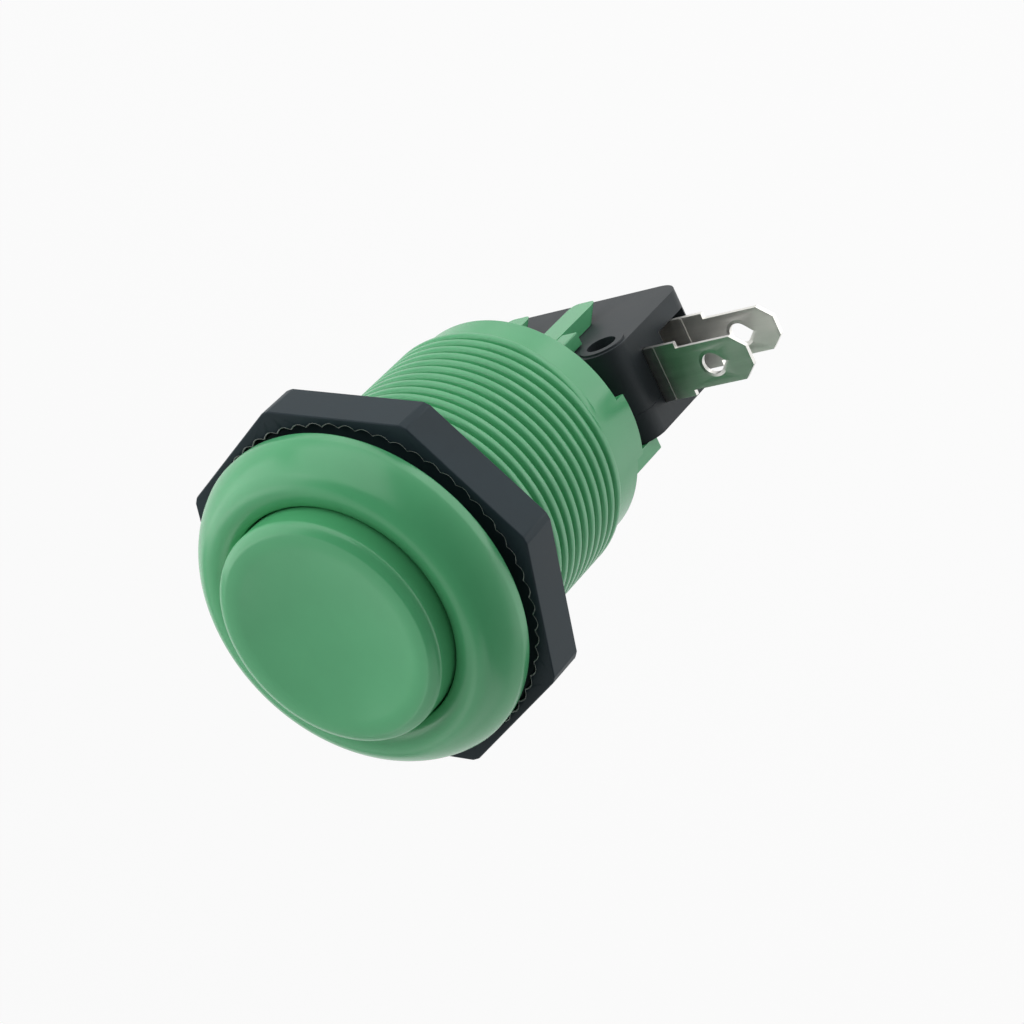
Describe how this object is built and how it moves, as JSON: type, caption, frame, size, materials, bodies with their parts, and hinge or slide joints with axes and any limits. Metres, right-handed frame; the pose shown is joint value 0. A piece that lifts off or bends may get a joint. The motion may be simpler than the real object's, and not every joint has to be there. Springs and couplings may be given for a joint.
{
  "type": "push button",
  "caption": "Panel-mounted round push button with a concave green plunger, threaded barrel, octagonal nut and a clipped-on snap-action switch.",
  "frame": {"origin": "on the button's axis, in the plane of the bezel's underside, which is the panel's front face", "axes": "+Z out of the panel along the plunger's axis, +X along the switch towards its two side blades"},
  "size_m": [0.0433, 0.0392, 0.0643],
  "materials": {
    "green_plastic": "satin moulded",
    "nut_plastic": "satin moulded",
    "switch_plastic": "satin moulded",
    "plated_brass": "bright tin plate",
    "spring_steel": "bright drawn",
    "contact_silver": "polished"
  },
  "bodies": {
    "housing": {"button_body": "green_plastic", "switch_case": "switch_plastic", "switch_cover": "switch_plastic", "common_terminal": "plated_brass", "normally_open_terminal": "plated_brass", "normally_closed_terminal": "plated_brass", "normally_open_contact": "contact_silver", "normally_closed_contact": "contact_silver", "return_spring": "spring_steel"},
    "plunger": {"plunger": "green_plastic"},
    "nut": {"panel_nut": "nut_plastic"},
    "pin": {"switch_pin": "switch_plastic"},
    "blade": {"snap_blade": "spring_steel", "moving_contact": "contact_silver"}
  },
  "joints": [
    {"name": "plunger_slide", "type": "slide", "parent": "housing", "child": "plunger", "axis": [0, 0, -1], "range_m": [0, 0.003], "stiffness_N_per_m": 150, "springref_m": -0.004, "deforming": ["return_spring"]},
    {"name": "pin_slide", "type": "slide", "parent": "housing", "child": "pin", "axis": [0, 0, -1], "range_m": [0, 0.0016]},
    {"name": "blade_snap", "type": "hinge", "parent": "housing", "child": "blade", "pos_m": [-0.009, 0, -0.04048], "axis": [0, 1, 0], "range_deg": [0, 1.95]},
    {"name": "nut_travel", "type": "slide", "parent": "housing", "child": "nut", "axis": [0, 0, 1], "range_m": [-0.02, 0.001]}
  ],
  "couplings": [
    {"joint": "pin_slide", "follows": "plunger_slide", "ratio": 0.5333},
    {"joint": "blade_snap", "follows": "plunger_slide", "rad_per_m": 11.34}
  ]
}
